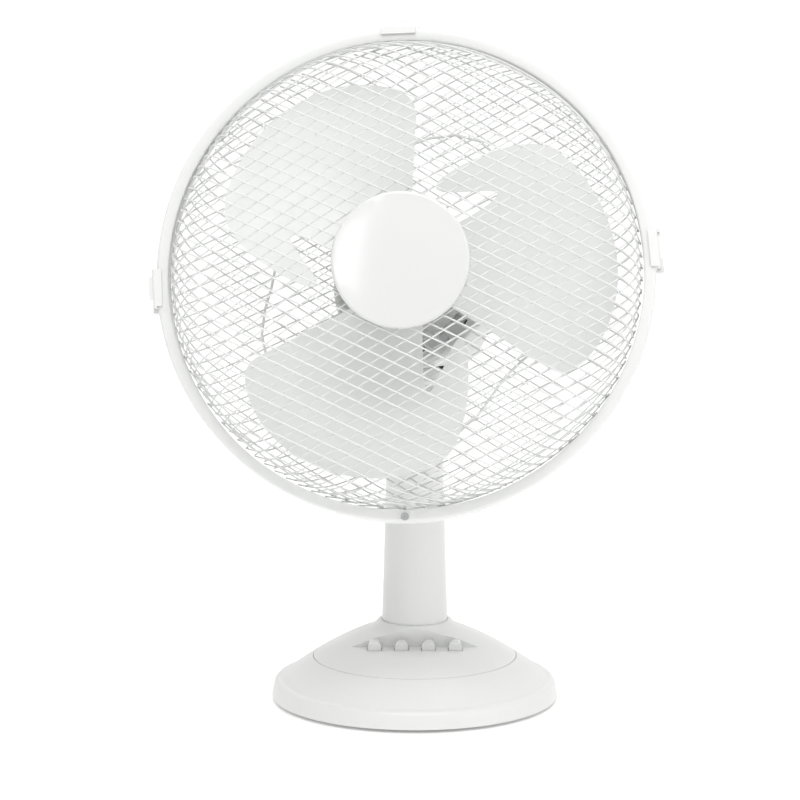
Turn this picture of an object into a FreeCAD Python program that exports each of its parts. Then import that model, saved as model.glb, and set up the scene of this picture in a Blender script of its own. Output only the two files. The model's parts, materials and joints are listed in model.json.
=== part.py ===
"""Oscillating 12-inch desk fan, built piece by piece.

World frame: +Z up, origin on the ground at the middle of the base, the fan faces -Y and +X is
to the right of someone standing in front of it.  Millimetres and degrees.

The base and column are drawn in the world frame.  The neck is drawn in its own frame, whose
origin is the middle of the tilt bolt, and the head in a frame whose origin is the point where
the motor axis crosses the pan axis.  Both are then placed in the tilted and panned rest pose.
"""
import FreeCAD, Part
import os
from math import atan2, ceil, cos, degrees, hypot, pi, radians, sin, sqrt, tan

Vector = FreeCAD.Vector
Rotation = FreeCAD.Rotation
Placement = FreeCAD.Placement

ORIGIN = Vector(0, 0, 0)
X_AXIS = Vector(1, 0, 0)
Y_AXIS = Vector(0, 1, 0)
Z_AXIS = Vector(0, 0, 1)

# ---------------------------------------------------------------- driving dimensions

RUNNING_GAP = 0.06      # radial clearance of a shaft that turns or slides in a bore
FIT_GAP = 0.15          # clearance between pieces that are fixed to each other
WALL = 2.6              # plastic wall thickness

# rest pose
REST_TILT = 17.0        # nose up
REST_PAN = -3.9         # turned a little to the left of someone in front of the fan

# base
BASE_RADIUS = 104.0
SKIRT_BOTTOM = 2.5
SKIRT_TOP = 12.0
SKIRT_TOP_RADIUS = 102.3
DOME_EDGE_RADIUS = 97.0
DOME_EDGE_HEIGHT = 15.2
DOME_SLOPE = 0.56
DOME_BULGE = 4.0
SEAM_RADIUS = 74.0
SEAM_GAP = 0.4
PLATE_BOTTOM = 3.0
PLATE_THICKNESS = 1.5
BASE_SCREW_CIRCLE = 84.0

# row of push buttons on a level shelf cut into the front of the dome
SHELF_HEIGHT = 43.5
SHELF_BACK = -27.2
BUTTON_PITCH = 19.3
BUTTON_WIDTH = 9.4
BUTTON_DEPTH = 9.0
BUTTON_TOP = 50.6
BUTTON_Y = -34.6
BUTTON_GAP = 0.4

# column
COLUMN_FOOT_RADIUS = 23.8
COLUMN_FOOT_HEIGHT = 58.5
COLUMN_TOP_RADIUS = 20.0
COLUMN_TOP_HEIGHT = 190.0
COLUMN_BOTTOM = 14.0

# neck and pan pivot
TILT_PIVOT_HEIGHT = 215.0
HEAD_ABOVE_PIVOT = 78.0
EAR_RADIUS = 12.0
EAR_INNER = 8.0
EAR_THICKNESS = 5.0
TILT_BOLT_RADIUS = 4.0
POST_RADIUS = 5.0
LINK_PIN_RADIUS = 2.0

# motor, along the head's Y axis
SHAFT_RADIUS = 4.0
BELL_FRONT = -50.0
BELL_REAR = -12.0
BELL_RADIUS = 46.0
STATOR_RADIUS = 42.0
STATOR_FRONT = -40.0
STATOR_REAR = -20.0
ROTOR_RADIUS = 22.2
MOTOR_BOLT_CIRCLE = 38.5
COVER_RADIUS = 54.5
COVER_WALL = 2.0
COVER_FRONT = -53.0
COVER_SEAM = -40.0
COVER_BARREL_END = 42.0
COVER_REAR = 64.0
COLLAR_RADIUS = 15.0
COLLAR_FRONT = -64.0

# oscillation gearbox
WORM_RADIUS = 4.0
WHEEL_TEETH = 36
WHEEL_MODULE = 0.75
PINION_TEETH = 9
CRANK_TEETH = 41
GEAR_MODULE = 0.8
WHEEL_Y = 8.0
CRANK_DIRECTION = 78.0
CRANK_THROW = 8.0
CRANK_PHASE = 172.0
LINK_TOP = -39.0
LINK_THICKNESS = 2.0

# cage: two wire-mesh domes joined by a rim band
RIM_PLANE = -100.0
BAND_RADIUS = 172.5
BAND_INNER_RADIUS = 164.4
BAND_WIDTH = 18.0
BAND_WALL = 1.7
RIM_WIRE_CIRCLE = 166.0
RIM_WIRE_RADIUS = 1.5
RIM_WIRE_OFFSET = 4.6       # each rim wire lies this far from the rim plane
LOCK_SCREW_RADIUS = 1.2
LOCK_SCREW_Z = -169.05
MESH_END_RADIUS = 162.4
MESH_END_DEPTH = 5.0
MESH_WIRE_RADIUS = 0.6
MESH_PITCH = 8.6
MESH_DIRECTIONS = (-26.0, 33.0)
MESH_LAYER = 0.75       # each family of wires lies this far off the middle surface
MESH_LONGEST_SPAN = 17.0    # straight stretch of a bent mesh wire
MESH_SHOULDER_PARTS = 5     # straight stretches round the shoulder of the mesh
FRONT_DOME_DEPTH = 54.0
REAR_DOME_DEPTH = 45.0
CAP_RADIUS = 47.0
CAP_HEIGHT = 4.6
REAR_PLATE_RADIUS = 38.0
REAR_PLATE_THICKNESS = 0.85

# impeller
BLADE_COUNT = 3
BLADE_TIP_RADIUS = 145.0
BLADE_THICKNESS = 1.8
BLADE_MIDDLE = -93.0
BLADE_TWIST = -19.0     # axial travel per radian, which sets the pitch
BLADE_CAMBER = 3.0
BLADE_START = -33.0     # the straight edge of the first blade, from +X towards +Z
BLADE_MIDDLE_ANGLE = 42.0  # degrees from the straight edge to the line the twist turns about
HUB_RADIUS = 27.0
HUB_FRONT = -114.0
HUB_REAR = -80.0
BLADE_ROOT_RADIUS = 20.0   # the root runs into the hub's wall
BLADE_SPAN = 104.0         # degrees between a blade's two edges at the root


# ---------------------------------------------------------------- shape helpers

def outline(plane, start, *steps):
    """Closed flat face.  Each step is a corner (a, b) or an arc ((middle), (end))."""
    edges = []
    here = start
    for step in steps:
        if isinstance(step[0], tuple):
            middle, end = step
            edges.append(Part.Arc(plane(*here), plane(*middle), plane(*end)).toShape())
        else:
            end = step
            edges.append(Part.makeLine(plane(*here), plane(*end)))
        here = end
    if here != start:
        edges.append(Part.makeLine(plane(*here), plane(*start)))
    return Part.Face(Part.Wire(edges))


def turned_z(start, *steps):
    """Solid of revolution about Z from an outline of (radius, height) points."""
    face = outline(lambda radius, height: Vector(radius, 0, height), start, *steps)
    return face.revolve(ORIGIN, Z_AXIS, 360)


def turned_y(start, *steps):
    """Solid of revolution about Y from an outline of (radius, y) points."""
    face = outline(lambda radius, along: Vector(radius, along, 0), start, *steps)
    return face.revolve(ORIGIN, Y_AXIS, 360)


def rod(radius, start, end):
    """Cylinder between two points."""
    axis = Vector(*end) - Vector(*start)
    return Part.makeCylinder(radius, axis.Length, Vector(*start), axis)


def tube(outer, inner, start, end):
    """Straight tube between two points."""
    return rod(outer, start, end).cut(rod(inner, start, end))


def box(x_range, y_range, z_range):
    """Block between pairs of limits."""
    size = [high - low for low, high in (x_range, y_range, z_range)]
    return Part.makeBox(*size, Vector(x_range[0], y_range[0], z_range[0]))


def hexagon(across_flats, start, end):
    """Six-sided prism between two points, such as a nut or a bolt head."""
    axis = Vector(*end) - Vector(*start)
    corner = across_flats / sqrt(3)
    points = [Vector(corner * cos(radians(60 * i)), corner * sin(radians(60 * i)), 0) for i in range(7)]
    prism = Part.Face(Part.makePolygon(points)).extrude(Vector(0, 0, axis.Length))
    prism.Placement = Placement(Vector(*start), Rotation(Z_AXIS, axis))
    return prism


def screw(shank_radius, head_radius, head_height, start, end):
    """Pan-head screw: the head lies before start, the shank runs from start to end."""
    axis = (Vector(*end) - Vector(*start)).normalize()
    top = Vector(*start) - axis * head_height
    head = Part.makeCylinder(head_radius, head_height, top, axis)
    recess = Part.makeCylinder(head_radius * 0.4, head_height * 0.5, top, axis)
    return head.cut(recess).fuse(rod(shank_radius, start, end)).removeSplitter()


def cap_height(radius, rim_radius, rise):
    """Height over its rim of a spherical cap with the given rise, at a radius from its axis."""
    sphere = (rim_radius ** 2 + rise ** 2) / (2 * rise)
    return sqrt(sphere ** 2 - radius ** 2) - (sphere - rise)


def around_y(shape, angle):
    """Copy turned about the Y axis, from +X towards +Z."""
    copy = shape.copy()
    copy.rotate(ORIGIN, Y_AXIS, -angle)
    return copy


def around_z(shape, angle):
    """Copy turned about the Z axis."""
    copy = shape.copy()
    copy.rotate(ORIGIN, Z_AXIS, angle)
    return copy


def all_fused(shapes):
    return shapes[0].multiFuse(shapes[1:]).removeSplitter()


def wire_through(points, sides, radius):
    """Round wire of straight stretches between the points; sides fixes how each circle is turned."""
    stretches = [(end - start).normalize() for start, end in zip(points, points[1:])]
    circles = []
    for point, side, before, after in zip(points, sides, stretches[:1] + stretches, stretches + stretches[-1:]):
        circle = Part.makeCircle(radius)
        circle.Placement = Placement(point, Rotation(side, Vector(), before + after, "ZXY"))
        circles.append(Part.Wire(circle))
    faces = [Part.makeLoft([start, end], False, True).Faces[0] for start, end in zip(circles, circles[1:])]
    shell = Part.Shell(faces + [Part.Face(circles[0]), Part.Face(circles[-1])])
    shell.sewShape()
    wire = Part.Solid(Part.Shell(shell.Faces))
    if wire.Volume < 0:
        wire.reverse()
    return wire


def ring_wire(circle_radius, wire_radius, y):
    return Part.makeTorus(circle_radius, wire_radius, Vector(0, y, 0), Y_AXIS)


# ---------------------------------------------------------------- placing and saving

NECK_PLACE = Placement(Vector(0, 0, TILT_PIVOT_HEIGHT), Rotation(X_AXIS, -REST_TILT))
HEAD_PLACE = NECK_PLACE.multiply(Placement(Vector(0, 0, HEAD_ABOVE_PIVOT), Rotation(Z_AXIS, REST_PAN)))

pieces = {}


def add(name, shape):
    """Keep a piece drawn in the world frame."""
    pieces[name] = shape


def add_to_neck(name, shape):
    placed = shape.copy()
    placed.Placement = NECK_PLACE.multiply(placed.Placement)
    pieces[name] = placed


def add_to_head(name, shape):
    placed = shape.copy()
    placed.Placement = HEAD_PLACE.multiply(placed.Placement)
    pieces[name] = placed


# ---------------------------------------------------------------- base

def dome_height(radius):
    """Outer surface of the base dome: a cone with a slight bulge."""
    inner = COLUMN_FOOT_RADIUS
    across = (radius - inner) / (DOME_EDGE_RADIUS - inner)
    bulge = 4 * DOME_BULGE * across * (1 - across)
    return DOME_EDGE_HEIGHT + DOME_SLOPE * (DOME_EDGE_RADIUS - radius) + bulge


def dome_arc(start_radius, end_radius, drop=0.0):
    """Arc along the dome, or along a surface a fixed drop below it."""
    middle = (start_radius + end_radius) / 2
    return (middle, dome_height(middle) - drop), (end_radius, dome_height(end_radius) - drop)


def on_circle(radius, count, first=0.0):
    return [(radius * cos(radians(first + 360 * i / count)), radius * sin(radians(first + 360 * i / count)))
            for i in range(count)]


def make_base_shell():
    """Lower shell: skirt, outer part of the dome, and the ledge that carries the control cover."""
    seam = SEAM_RADIUS + SEAM_GAP / 2
    ledge = 67.0
    drop = WALL + 0.3
    below = drop + WALL
    shell = turned_z(
        (BASE_RADIUS, SKIRT_BOTTOM),
        (SKIRT_TOP_RADIUS, SKIRT_TOP),
        ((SKIRT_TOP_RADIUS - 1.3, SKIRT_TOP + 2.0), (DOME_EDGE_RADIUS, DOME_EDGE_HEIGHT)),
        dome_arc(DOME_EDGE_RADIUS, seam),
        (seam, dome_height(seam) - drop),
        dome_arc(seam, ledge, drop),
        (ledge, dome_height(ledge) - below),
        dome_arc(ledge, seam + 2.0, below),
        (seam + WALL + 2.0, dome_height(seam + WALL + 2.0) - WALL),
        dome_arc(seam + WALL + 2.0, DOME_EDGE_RADIUS - 1.0, WALL),
        (SKIRT_TOP_RADIUS - WALL, SKIRT_TOP - 1.0),
        (BASE_RADIUS - WALL, SKIRT_BOTTOM),
    )
    under_dome = turned_z((0, 0), (DOME_EDGE_RADIUS, 0), (DOME_EDGE_RADIUS, DOME_EDGE_HEIGHT - 0.5),
                          dome_arc(DOME_EDGE_RADIUS, 76.0, 0.5), (0, dome_height(76.0) - 0.5))
    plate_top = PLATE_BOTTOM + PLATE_THICKNESS
    for x, y in on_circle(BASE_SCREW_CIRCLE, 4, 45):
        boss = rod(4.5, (x, y, plate_top), (x, y, 40)).common(under_dome)
        shell = shell.fuse(boss).cut(rod(1.5 + FIT_GAP, (x, y, 0), (x, y, 15)))
    cord_hole = rod(3.8 + FIT_GAP, (0, 90, 8.0), (0, 110, 8.0))
    return shell.cut(cord_hole).removeSplitter()


def make_control_cover():
    """Upper cover: the rest of the dome, with a level shelf for the push buttons."""
    rim = SEAM_RADIUS - SEAM_GAP / 2
    foot = COLUMN_FOOT_RADIUS + 0.3
    foot_curve = 36.0
    floor = 15.0
    outer = turned_z(
        (foot, floor), (rim, floor), (rim, dome_height(rim)),
        dome_arc(rim, foot_curve),
        ((30.2, dome_height(30.2) + 0.35), (26.6, COLUMN_FOOT_HEIGHT - 0.4)),
        (foot, COLUMN_FOOT_HEIGHT),
    )
    hollow = turned_z(
        (foot + WALL, floor - 1), (rim + 1, floor - 1), (rim + 1, dome_height(rim + 1) - WALL),
        dome_arc(rim + 1, foot + WALL, WALL + 0.2),
    )
    pocket = box((-70, 70), (-90, SHELF_BACK), (SHELF_HEIGHT, 90))
    pocket_wall = box((-70, 70), (-90, SHELF_BACK + 1.8), (SHELF_HEIGHT - WALL, 90))
    socket_room = rod(foot + WALL + 4, (0, 0, 0), (0, 0, SHELF_HEIGHT - WALL - 1.5))
    cover = outer.cut(pocket).cut(hollow.cut(pocket_wall)).cut(socket_room)
    for i in range(4):
        x = BUTTON_PITCH * (i - 1.5)
        half_x = BUTTON_WIDTH / 2 + BUTTON_GAP
        half_y = BUTTON_DEPTH / 2 + BUTTON_GAP
        hole = box((x - half_x, x + half_x), (BUTTON_Y - half_y, BUTTON_Y + half_y), (30, 60))
        cover = cover.cut(hole)
    return cover.removeSplitter()


def make_base_plate():
    """Flat bottom plate with countersunk room for its four screws."""
    plate = rod(98.5, (0, 0, PLATE_BOTTOM), (0, 0, PLATE_BOTTOM + PLATE_THICKNESS))
    for x, y in on_circle(BASE_SCREW_CIRCLE, 4, 45):
        plate = plate.cut(rod(1.5 + FIT_GAP, (x, y, 0), (x, y, 10)))
    return plate


def make_base_screws():
    return Part.makeCompound([screw(1.5, 3.4, 1.6, (x, y, PLATE_BOTTOM - 0.05), (x, y, 13.0))
                              for x, y in on_circle(BASE_SCREW_CIRCLE, 4, 45)])


def make_foot_ring():
    """Rubber ring that the fan stands on."""
    return turned_z((90.0, 0), (96.0, 0), (96.0, PLATE_BOTTOM - 0.02), (90.0, PLATE_BOTTOM - 0.02))


def make_ballast_weight():
    """Cast weight that lies on the base plate and steadies the fan."""
    bottom = PLATE_BOTTOM + PLATE_THICKNESS + 0.02
    return turned_z((46.0, bottom), (76.0, bottom), (76.0, 11.0), (74.5, 12.5), (47.5, 12.5), (46.0, 11.0))


def make_column_socket():
    """Flanged socket that holds the foot of the column, with four screw posts in its flange."""
    bottom = PLATE_BOTTOM + PLATE_THICKNESS + 0.02
    inner = COLUMN_FOOT_RADIUS + FIT_GAP
    return turned_z((12.0, bottom), (40.0, bottom), (40.0, bottom + 3), (inner + 3, bottom + 3),
                    (inner + 3, 38.0), (inner, 38.0), (inner, COLUMN_BOTTOM - 0.1),
                    (12.0, COLUMN_BOTTOM - 0.1))


def make_switch_block():
    """Row switch under the buttons: a case with a notch between each pair of contacts."""
    case = box((-42, 42), (-47, -29.5), (16, 32))
    for gap in range(3):
        x = BUTTON_PITCH * (gap - 1)
        case = case.cut(box((x - 2, x + 2), (-49, -43), (18, 30)))
    return case


def make_motor_capacitor():
    """Run capacitor with its two tags."""
    body = box((-19, 19), (40, 56), (13.2, 29))
    tags = [box((x - 2, x + 2), (47.6, 48.4), (29, 34)) for x in (-9, 9)]
    return all_fused([body] + tags)


def make_cord_inlet():
    """Flanged bush in the back of the skirt, where the supply cord enters."""
    y_wall = 104.2
    return turned_y((2.6, 99.3), (3.8, 99.3), (3.8, y_wall), (5.0, y_wall), (4.4, y_wall + 2.4),
                    (2.6, y_wall + 2.4))


def make_button(x):
    """Push button: a rounded key on a stem that reaches down to the switch."""
    half_x = BUTTON_WIDTH / 2
    half_y = BUTTON_DEPTH / 2
    shoulder = BUTTON_TOP - 3.4
    key = outline(lambda a, b: Vector(x + a, BUTTON_Y - half_y, b),
                  (-half_x, 37.0), (half_x, 37.0), (half_x, shoulder),
                  ((0, BUTTON_TOP), (-half_x, shoulder))).extrude(Vector(0, BUTTON_DEPTH, 0))
    side = outline(lambda a, b: Vector(x - half_x - 1, BUTTON_Y + a, b),
                   (-half_y, 36.0), (half_y, 36.0), (half_y, shoulder),
                   ((0, BUTTON_TOP + 0.2), (-half_y, shoulder))).extrude(Vector(BUTTON_WIDTH + 2, 0, 0))
    return key.common(side)


# ---------------------------------------------------------------- column and tilt joint

def make_column_tube():
    wall = WALL
    return turned_z(
        (COLUMN_FOOT_RADIUS, COLUMN_BOTTOM), (COLUMN_FOOT_RADIUS, COLUMN_FOOT_HEIGHT),
        (COLUMN_TOP_RADIUS, COLUMN_TOP_HEIGHT), (COLUMN_TOP_RADIUS - wall, COLUMN_TOP_HEIGHT),
        (COLUMN_FOOT_RADIUS - wall, COLUMN_FOOT_HEIGHT), (COLUMN_FOOT_RADIUS - wall, COLUMN_BOTTOM),
    )


def make_column_yoke():
    """Plug in the column's top with two ears that hold the tilt bolt."""
    top = COLUMN_TOP_HEIGHT
    plug_radius = COLUMN_TOP_RADIUS - WALL - FIT_GAP
    flange = rod(COLUMN_TOP_RADIUS, (0, 0, top + 0.05), (0, 0, top + 4))
    plug = rod(plug_radius, (0, 0, top - 22), (0, 0, top + 2))
    pivot = TILT_PIVOT_HEIGHT
    parts = [flange, plug]
    for side in (-1, 1):
        inner = side * EAR_INNER
        outer = side * (EAR_INNER + EAR_THICKNESS)
        low, high = sorted((inner, outer))
        parts.append(rod(EAR_RADIUS, (low, 0, pivot), (high, 0, pivot)))
        parts.append(box((low, high), (-EAR_RADIUS, EAR_RADIUS), (top + 2, pivot)))
    yoke = all_fused(parts)
    bore = rod(TILT_BOLT_RADIUS + FIT_GAP, (-30, 0, pivot), (30, 0, pivot))
    cable_way = rod(6.0, (0, 0, top - 30), (0, 0, top + 10))
    return yoke.cut(bore).cut(cable_way)


def make_tilt_bolt():
    end = EAR_INNER + EAR_THICKNESS
    height = TILT_PIVOT_HEIGHT
    head = hexagon(13.0, (-end - 5.3, 0, height), (-end - 0.1, 0, height))
    return head.fuse(rod(TILT_BOLT_RADIUS, (-end - 1, 0, height), (end + 7.5, 0, height))).removeSplitter()


def make_tilt_nut():
    end = EAR_INNER + EAR_THICKNESS
    height = TILT_PIVOT_HEIGHT
    nut = hexagon(13.0, (end + 0.1, 0, height), (end + 6.1, 0, height))
    return nut.cut(rod(TILT_BOLT_RADIUS + 0.05, (0, 0, height), (40, 0, height)))


# heights in the neck's frame
FLANGE_BOTTOM = EAR_RADIUS + 1.5
BOSS_BOTTOM = HEAD_ABOVE_PIVOT - 52.0
KNUCKLE_TOP = BOSS_BOTTOM - 0.8
BOSS_TOP = HEAD_ABOVE_PIVOT - 32.0

# gear train layout in the head's frame, seen from above
WORM_WHEEL_RADIUS = WHEEL_MODULE * WHEEL_TEETH / 2
WHEEL_CENTRE = (-(WORM_RADIUS + WORM_WHEEL_RADIUS), WHEEL_Y)
GEAR_DISTANCE = GEAR_MODULE * (PINION_TEETH + CRANK_TEETH) / 2
CRANK_CENTRE = (WHEEL_CENTRE[0] + GEAR_DISTANCE * cos(radians(CRANK_DIRECTION)),
                WHEEL_CENTRE[1] + GEAR_DISTANCE * sin(radians(CRANK_DIRECTION)))
CRANK_PIN = (CRANK_CENTRE[0] + CRANK_THROW * cos(radians(CRANK_PHASE)),
             CRANK_CENTRE[1] + CRANK_THROW * sin(radians(CRANK_PHASE)))
LINK_PIN_OFFSET = (CRANK_CENTRE[0], 0.0)


def make_neck_knuckle():
    """Tongue on the tilt bolt, a round seat for the pan pivot, and the fixed pin of the crank link."""
    tongue_half = EAR_INNER - 0.35
    tongue = rod(EAR_RADIUS - 0.4, (-tongue_half, 0, 0), (tongue_half, 0, 0))
    stem = box((-tongue_half, tongue_half), (-9, 9), (0, FLANGE_BOTTOM + 2))
    seat = turned_z((0, FLANGE_BOTTOM), (17.0, FLANGE_BOTTOM), (19.0, FLANGE_BOTTOM + 2),
                    (19.0, KNUCKLE_TOP), (0, KNUCKLE_TOP))
    x, y = LINK_PIN_OFFSET
    link_top = HEAD_ABOVE_PIVOT + LINK_TOP
    link_pin = rod(LINK_PIN_RADIUS, (x, y, KNUCKLE_TOP - 3), (x, y, link_top + 1.5))
    shoulder = rod(LINK_PIN_RADIUS + 1.2, (x, y, KNUCKLE_TOP - 3), (x, y, link_top - LINK_THICKNESS - 0.3))
    knuckle = all_fused([tongue, stem, seat, link_pin, shoulder])
    bolt_bore = rod(TILT_BOLT_RADIUS + RUNNING_GAP, (-30, 0, 0), (30, 0, 0))
    post_bore = rod(POST_RADIUS + 0.03, (0, 0, FLANGE_BOTTOM - 6), (0, 0, 60))
    return knuckle.cut(bolt_bore).cut(post_bore)


def make_pivot_post():
    """Steel post that the head pans on, grooved for its retaining ring."""
    top = BOSS_TOP + 3.0
    post = rod(POST_RADIUS, (0, 0, FLANGE_BOTTOM - 5.9), (0, 0, top))
    groove = tube(POST_RADIUS + 1, POST_RADIUS - 0.8, (0, 0, BOSS_TOP + 0.5), (0, 0, BOSS_TOP + 1.9))
    return post.cut(groove)


def make_post_circlip():
    """Open retaining ring in the groove at the top of the pivot post."""
    ring = tube(8.0, POST_RADIUS - 0.7, (0, 0, BOSS_TOP + 0.6), (0, 0, BOSS_TOP + 1.8))
    return ring.cut(box((0, 12), (-3, 3), (BOSS_TOP - 1, BOSS_TOP + 3)))


def make_thrust_washer():
    return tube(9.6, POST_RADIUS + 0.2, (0, 0, KNUCKLE_TOP + 0.02), (0, 0, KNUCKLE_TOP + 0.62))


# ---------------------------------------------------------------- motor

def make_motor_front_bell():
    """Front end bell with the bearing seat and the collar that the grille nut screws on."""
    bearing = 8.0 + 0.02
    wall_end = STATOR_FRONT + 6
    bell = turned_y(
        (bearing, COLLAR_FRONT), (COLLAR_RADIUS, COLLAR_FRONT), (COLLAR_RADIUS, BELL_FRONT),
        (BELL_RADIUS, BELL_FRONT), (BELL_RADIUS, wall_end), (STATOR_RADIUS + 0.1, wall_end),
        (STATOR_RADIUS + 0.1, STATOR_FRONT - 0.05), (STATOR_RADIUS - 2, STATOR_FRONT - 0.05),
        (STATOR_RADIUS - 2, BELL_FRONT + 3.5), (bearing + 4, BELL_FRONT + 3.5), (bearing + 4, -47.0),
        (bearing, -47.0),
    )
    for x, z in on_circle(MOTOR_BOLT_CIRCLE, 4, 45):
        bell = bell.cut(rod(1.8 + FIT_GAP, (x, -70, z), (x, STATOR_FRONT, z)))
    slot = box((20, 32), (BELL_FRONT - 1, BELL_FRONT + 5), (-2.5, 2.5))
    for i in range(8):
        bell = bell.cut(around_y(slot, 45 * i))
    return bell


def make_motor_rear_bell():
    """Rear end bell with the rear bearing seat and the boss that turns on the pivot post."""
    bearing = 8.0 + 0.02
    disc_front = BELL_REAR - 4
    bell = turned_y(
        (bearing, -20.0), (bearing + 4, -20.0), (bearing + 4, disc_front), (STATOR_RADIUS - 2, disc_front),
        (STATOR_RADIUS - 2, STATOR_REAR + 0.05), (STATOR_RADIUS + 0.1, STATOR_REAR + 0.05),
        (STATOR_RADIUS + 0.1, STATOR_REAR - 6), (BELL_RADIUS, STATOR_REAR - 6), (BELL_RADIUS, BELL_REAR),
        (bearing, BELL_REAR),
    )
    boss_low = BOSS_BOTTOM - HEAD_ABOVE_PIVOT
    boss_high = BOSS_TOP - HEAD_ABOVE_PIVOT
    swing_room = rod(19.0, (0, 0, -60), (0, 0, boss_high + 4))
    boss = rod(8.5, (0, 0, boss_low), (0, 0, boss_high))
    web = box((-4.5, 4.5), (disc_front, -4), (-45.0, boss_high))
    root = box((-4.5, 4.5), (disc_front, BELL_REAR), (-45.0, boss_high + 8))
    bell = bell.cut(swing_room).multiFuse([boss, web, root])
    bell = bell.cut(rod(POST_RADIUS + RUNNING_GAP, (0, 0, -60), (0, 0, boss_high + 1)))
    for x, z in on_circle(MOTOR_BOLT_CIRCLE, 4, 45):
        bell = bell.cut(rod(1.8 + FIT_GAP, (x, STATOR_REAR - 1, z), (x, BELL_REAR + 1, z)))
    return bell.removeSplitter()


def make_stator_core():
    """Laminated core: a ring with sixteen winding slots round its bore."""
    core = tube(STATOR_RADIUS, ROTOR_RADIUS + 0.4, (0, STATOR_FRONT, 0), (0, STATOR_REAR, 0))
    slot = rod(2.6, (29.0, STATOR_FRONT - 1, 0), (29.0, STATOR_REAR + 1, 0))
    cuts = [around_y(slot, 22.5 * i) for i in range(16)]
    cuts += [rod(1.8 + FIT_GAP, (x, STATOR_FRONT - 1, z), (x, STATOR_REAR + 1, z))
             for x, z in on_circle(MOTOR_BOLT_CIRCLE, 4, 45)]
    return core.cut(Part.makeCompound(cuts))


def make_stator_windings():
    """Copper end turns in front of and behind the core."""
    front = turned_y((25.0, STATOR_FRONT - 0.1), (34.0, STATOR_FRONT - 0.1),
                     ((33.2, STATOR_FRONT - 4.4), (29.5, STATOR_FRONT - 5.4)),
                     ((25.8, STATOR_FRONT - 4.4), (25.0, STATOR_FRONT - 0.1)))
    rear = turned_y((25.0, STATOR_REAR + 0.1), (34.0, STATOR_REAR + 0.1),
                    ((33.2, STATOR_REAR + 2.9), (29.5, STATOR_REAR + 3.6)),
                    ((25.8, STATOR_REAR + 2.9), (25.0, STATOR_REAR + 0.1)))
    return Part.makeCompound([front, rear])


def make_shaft_bearings():
    """Two plain bronze bushes."""
    bore = SHAFT_RADIUS + 0.03
    return Part.makeCompound([tube(8.0, bore, (0, COLLAR_FRONT + 2, 0), (0, -48, 0)),
                              tube(8.0, bore, (0, -19.5, 0), (0, -12.5, 0))])


def make_rotor_cage():
    """Squirrel-cage rotor: steel body with cast end rings."""
    body = tube(ROTOR_RADIUS, SHAFT_RADIUS + 0.02, (0, STATOR_FRONT, 0), (0, STATOR_REAR, 0))
    ring = tube(21.0, 14.0, (0, STATOR_FRONT - 3.5, 0), (0, STATOR_FRONT + 1, 0))
    return body.fuse(ring).removeSplitter()


def make_motor_bolts():
    """Four long bolts that clamp the end bells on the core."""
    return Part.makeCompound([screw(1.8, 3.2, 0.9, (x, BELL_FRONT - 0.02, z), (x, BELL_REAR - 0.5, z))
                              for x, z in on_circle(MOTOR_BOLT_CIRCLE, 4, 45)])


def make_motor_front_cover():
    """Round front cover with a ring of vent slots."""
    cover = turned_y(
        (COLLAR_RADIUS + 0.4, COVER_FRONT), (COVER_RADIUS - 4, COVER_FRONT),
        ((COVER_RADIUS - 1.2, COVER_FRONT + 1.2), (COVER_RADIUS, COVER_FRONT + 4)),
        (COVER_RADIUS, COVER_SEAM - 0.2), (COVER_RADIUS - COVER_WALL, COVER_SEAM - 0.2),
        (COVER_RADIUS - COVER_WALL, COVER_FRONT + 4.6), (COVER_RADIUS - 4.6, COVER_FRONT + COVER_WALL),
        (COLLAR_RADIUS + 0.4, COVER_FRONT + COVER_WALL),
    )
    slot = box((38.5, 47.5), (COVER_FRONT - 1, COVER_FRONT + 3), (-1.9, 1.9))
    for i in range(16):
        cover = cover.cut(around_y(slot, 11.25 + 22.5 * i))
    return cover


def make_motor_rear_cover():
    """Barrel and domed back, open underneath for the neck and on top for the clutch knob."""
    outer = COVER_RADIUS
    inner = COVER_RADIUS - COVER_WALL
    cover = turned_y(
        (outer, COVER_SEAM), (outer, COVER_BARREL_END), (outer - 3, COVER_BARREL_END + 9),
        ((outer - 9, COVER_REAR - 6), (outer - 20, COVER_REAR - 2)), (0, COVER_REAR),
        (0, COVER_REAR - COVER_WALL), (outer - 20.4, COVER_REAR - 2 - COVER_WALL),
        ((outer - 10.4, COVER_REAR - 7.6), (inner - 3, COVER_BARREL_END + 8.6)),
        (inner, COVER_BARREL_END), (inner, COVER_SEAM),
    )
    neck_opening = rod(23.0, (0, 0, -70), (0, 0, -40))
    knob_hole = rod(3.6, (*WHEEL_CENTRE, 30), (*WHEEL_CENTRE, 70))
    screw_hole = rod(1.8, (0, COVER_REAR - 10, 0), (0, COVER_REAR + 5, 0))
    cuts = [neck_opening, knob_hole, screw_hole]
    slot = box((14, 34), (COVER_REAR - 12, COVER_REAR + 5), (-1.6, 1.6))
    cuts += [around_y(slot, 15 + 30 * i) for i in range(12)]
    return cover.cut(Part.makeCompound(cuts))


def make_cover_screw():
    """Screw through the back of the cover into the gearbox."""
    return screw(1.6, 3.6, 1.8, (0, COVER_REAR + 0.03, 0), (0, COVER_REAR - 14, 0))


# ---------------------------------------------------------------- oscillation gearbox

GEARBOX_BOTTOM = -27.0
GEARBOX_TOP = 8.0


def gear_outline(teeth, module, root_share=0.23, tip_share=0.09):
    """Closed profile of a spur gear with straight-sided teeth, the first one on +X."""
    pitch_radius = module * teeth / 2
    root = pitch_radius - 1.15 * module
    tip = pitch_radius + 0.85 * module
    step = 360 / teeth
    points = []
    for i in range(teeth):
        for radius, share in ((root, -root_share), (tip, -tip_share), (tip, tip_share), (root, root_share)):
            angle = radians(step * (i + share))
            points.append(Vector(radius * cos(angle), radius * sin(angle), 0))
    points.append(points[0])
    return Part.Face(Part.makePolygon(points))


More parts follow.
